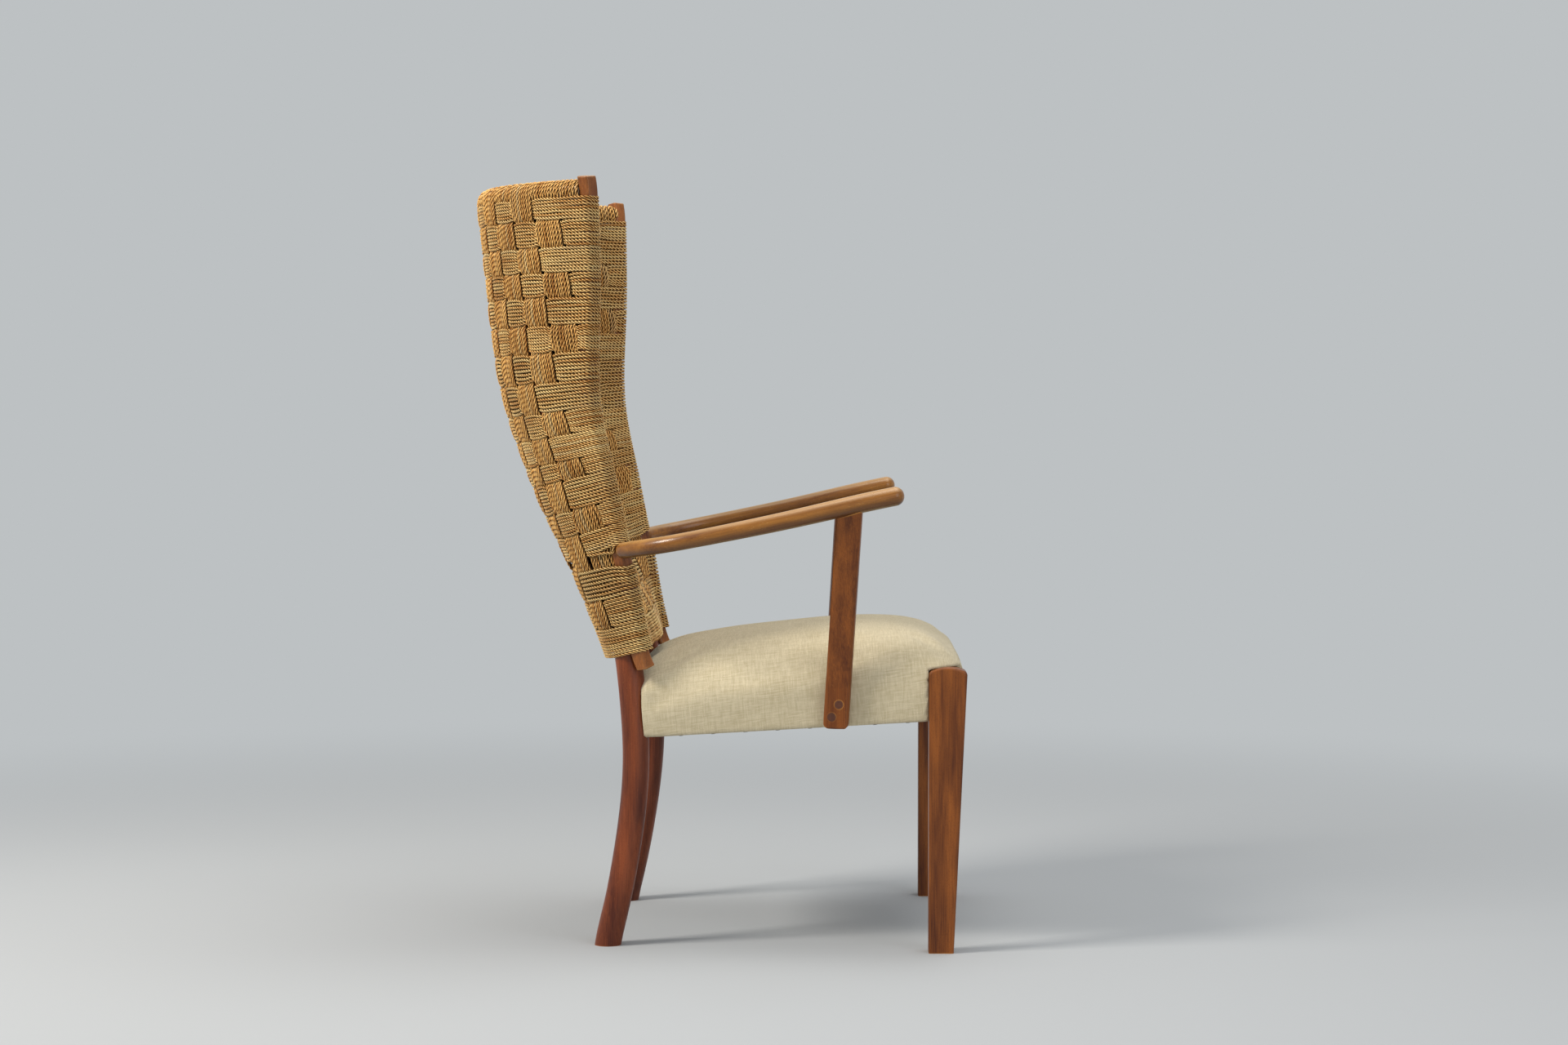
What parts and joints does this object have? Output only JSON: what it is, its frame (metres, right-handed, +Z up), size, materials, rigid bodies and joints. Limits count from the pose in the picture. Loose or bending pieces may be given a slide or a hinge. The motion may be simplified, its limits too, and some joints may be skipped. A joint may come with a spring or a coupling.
{
  "type": "easy chair",
  "caption": "Upholstered easy chair with open bent arms, tapered front legs, bent round rear legs and a tall curved back in woven seagrass cord.",
  "frame": {"origin": "middle of the chair's outline on the floor, under the seat", "axes": "+Z up, -Y the way the chair faces, +X the sitter's left"},
  "size_m": [0.7064, 0.7255, 1.1062],
  "materials": {
    "beech_red_brown": "stained beech, satin, worn",
    "beech_mid_brown": "stained beech, satin, worn",
    "beech_golden_brown": "stained beech, satin lacquer, worn to gold on top",
    "beech_plug": "stained beech end plugs",
    "beech_bare": "bare beech, hidden",
    "seagrass_cord": "twisted seagrass cord, basket weave",
    "natural_linen": "natural linen, slubbed",
    "spring_steel": "copper-washed spring wire",
    "screw_steel": "steel wood screws",
    "jute_webbing": "jute webbing",
    "hessian": "hessian",
    "fibre_stuffing": "fibre stuffing and wadding",
    "dust_cotton": "thin undyed cotton",
    "blued_tacks": "blued steel tacks"
  },
  "bodies": {
    "root": {"arm_dowels": "beech_bare", "arm_post_left": "beech_mid_brown", "arm_post_plugs": "beech_plug", "arm_post_right": "beech_mid_brown", "arm_post_screws": "screw_steel", "arm_rest_left": "beech_golden_brown", "arm_rest_right": "beech_golden_brown", "back_bottom_rail": "beech_bare", "back_rail_screws": "screw_steel", "back_stile_left": "beech_red_brown", "back_stile_right": "beech_red_brown", "back_top_rail": "beech_bare", "back_weave": "seagrass_cord", "front_leg_left": "beech_mid_brown", "front_leg_right": "beech_mid_brown", "rear_post_left": "beech_red_brown", "rear_post_right": "beech_red_brown", "seat_block_screws": "screw_steel", "seat_corner_blocks": "beech_bare", "seat_cover": "natural_linen", "seat_dust_cover": "dust_cotton", "seat_hessian": "hessian", "seat_rail_front": "beech_bare", "seat_rail_rear": "beech_bare", "seat_rail_side_left": "beech_bare", "seat_rail_side_right": "beech_bare", "seat_springs": "spring_steel", "seat_stuffing": "fibre_stuffing", "seat_tacks": "blued_tacks", "seat_webbing": "jute_webbing"}
  },
  "joints": []
}
